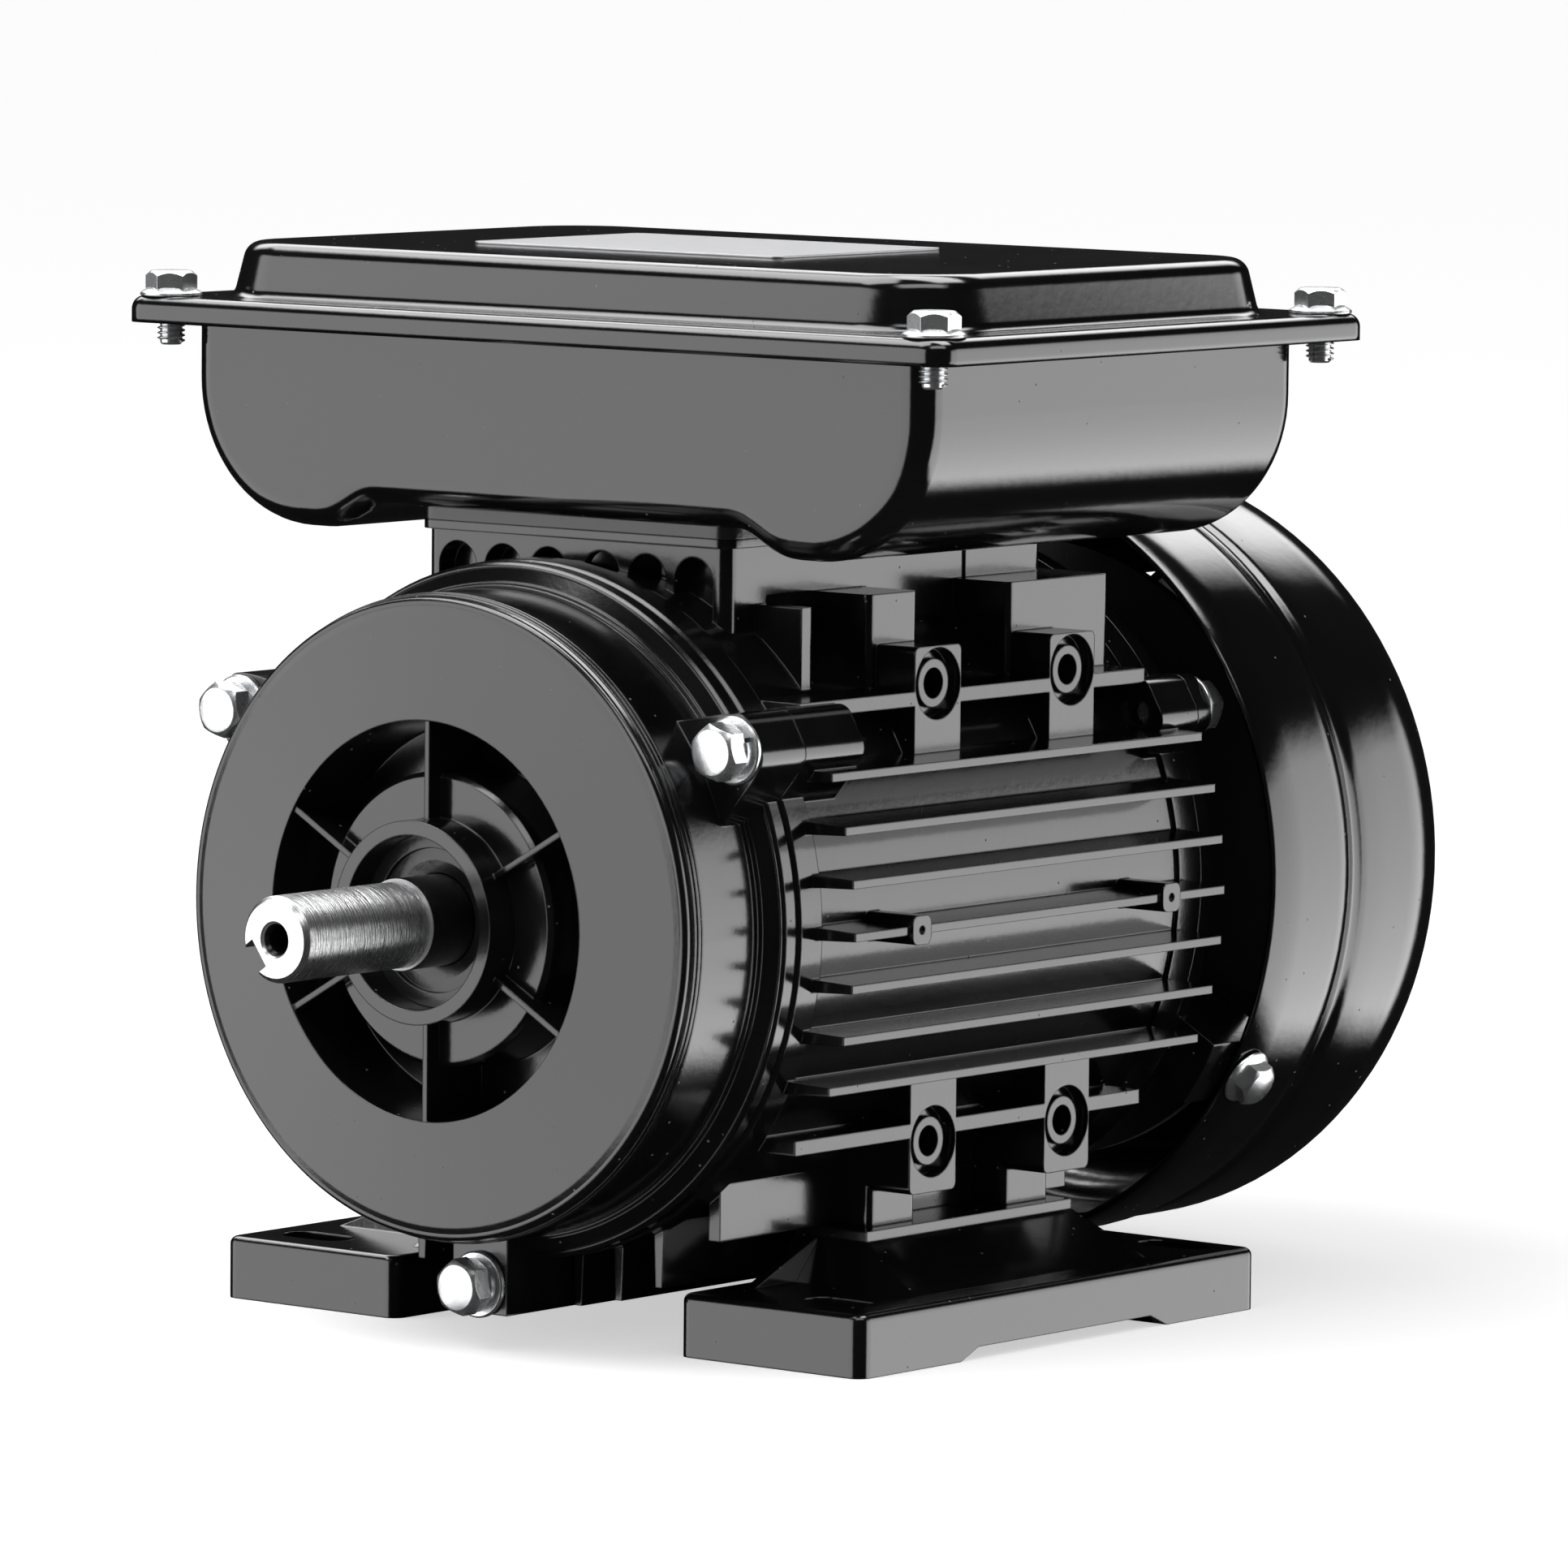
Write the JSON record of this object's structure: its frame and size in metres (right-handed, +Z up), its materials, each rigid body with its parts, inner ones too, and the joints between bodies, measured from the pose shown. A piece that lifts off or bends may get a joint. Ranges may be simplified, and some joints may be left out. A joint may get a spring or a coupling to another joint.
{
  "type": "single-phase electric motor",
  "caption": "Foot-mounted single-phase electric motor with finned housing, ribbed end shield, large terminal box on top, fan cover and keyed shaft end.",
  "frame": {"origin": "centre of the four foot holes, on the plane that the feet stand on", "axes": "+Y along the shaft from the shaft end to the fan, +Z up, +X to the right of someone who looks at the shaft end"},
  "size_m": [0.1738, 0.241, 0.1774],
  "materials": {
    "black_paint": "gloss enamel",
    "core_steel": "stacked sheet edges",
    "enamelled_copper": "varnished",
    "die_cast_aluminium": "as cast",
    "zinc_steel": "bright zinc",
    "black_rubber": "matt",
    "bare_aluminium": "satin, bare",
    "capacitor_white": "moulded can",
    "capacitor_black": "moulded can",
    "spring_steel": "rolled",
    "phenolic_brown": "moulded",
    "brass": "bright",
    "black_plastic": "moulded",
    "bearing_steel": "ground",
    "ground_steel": "ground"
  },
  "bodies": {
    "motor_frame": {"stator_housing": "black_paint", "front_end_shield": "black_paint", "rear_end_shield": "black_paint", "stator_core": "core_steel", "stator_windings": "enamelled_copper", "front_shield_bolts": "zinc_steel", "front_spring_washers": "zinc_steel", "front_washers": "zinc_steel", "rear_shield_bolts": "zinc_steel", "rear_spring_washers": "zinc_steel", "rear_washers": "zinc_steel", "right_foot": "black_paint", "left_foot": "black_paint", "foot_bolts": "zinc_steel", "foot_washers": "zinc_steel", "terminal_box": "black_paint", "box_gasket": "black_rubber", "terminal_box_lid": "black_paint", "lid_gasket": "black_rubber", "lid_bolts": "zinc_steel", "rating_plate": "bare_aluminium", "run_capacitor": "capacitor_white", "start_capacitor": "capacitor_black", "capacitor_clamps": "spring_steel", "terminal_block": "phenolic_brown", "terminal_studs": "brass", "terminal_links": "brass", "terminal_nuts": "zinc_steel", "box_screws": "zinc_steel", "earth_screw": "brass", "gland_body": "black_plastic", "gland_locknut": "black_plastic", "gland_cap": "black_plastic", "gland_seal": "black_rubber", "fan_cover": "black_paint", "fan_cover_screws": "zinc_steel", "front_bearing_outer_ring": "bearing_steel", "rear_bearing_outer_ring": "bearing_steel", "wave_washer": "spring_steel", "shaft_seal": "black_rubber", "switch_board": "phenolic_brown", "switch_contacts": "brass"},
    "rotor": {"shaft": "ground_steel", "rotor_core": "core_steel", "rotor_cage": "die_cast_aluminium", "cooling_fan": "black_plastic", "fan_clip": "spring_steel", "governor": "zinc_steel", "front_bearing_inner_ring": "bearing_steel", "rear_bearing_inner_ring": "bearing_steel"},
    "front_balls": {"front_bearing_balls": "bearing_steel", "front_bearing_cage": "black_plastic"},
    "rear_balls": {"rear_bearing_balls": "bearing_steel", "rear_bearing_cage": "black_plastic"},
    "collar": {"switch_collar": "black_plastic"},
    "upper_weight": {"upper_flyweight": "zinc_steel"},
    "lower_weight": {"lower_flyweight": "zinc_steel"}
  },
  "joints": [
    {"name": "rotor_spin", "type": "hinge", "parent": "motor_frame", "child": "rotor", "pos_m": [0, 0, 0.071], "axis": [0, 1, 0], "continuous": true},
    {"name": "front_ball_orbit", "type": "hinge", "parent": "motor_frame", "child": "front_balls", "pos_m": [0, -0.0715, 0.071], "axis": [0, 1, 0], "continuous": true},
    {"name": "rear_ball_orbit", "type": "hinge", "parent": "motor_frame", "child": "rear_balls", "pos_m": [0, 0.0615, 0.071], "axis": [0, 1, 0], "continuous": true},
    {"name": "collar_slide", "type": "slide", "parent": "rotor", "child": "collar", "axis": [0, -1, 0], "range_m": [0, 0.0025], "stiffness_N_per_m": 400},
    {"name": "upper_weight_swing", "type": "hinge", "parent": "rotor", "child": "upper_weight", "pos_m": [0, 0.0432, 0.086], "axis": [1, 0, 0], "range_deg": [0, 12]},
    {"name": "lower_weight_swing", "type": "hinge", "parent": "rotor", "child": "lower_weight", "pos_m": [0, 0.0432, 0.056], "axis": [-1, 0, 0], "range_deg": [0, 12]}
  ],
  "couplings": [
    {"joint": "front_ball_orbit", "follows": "rotor_spin", "ratio": 0.38},
    {"joint": "rear_ball_orbit", "follows": "rotor_spin", "ratio": 0.38},
    {"joint": "upper_weight_swing", "follows": "collar_slide", "rad_per_m": 83},
    {"joint": "lower_weight_swing", "follows": "collar_slide", "rad_per_m": 83}
  ]
}
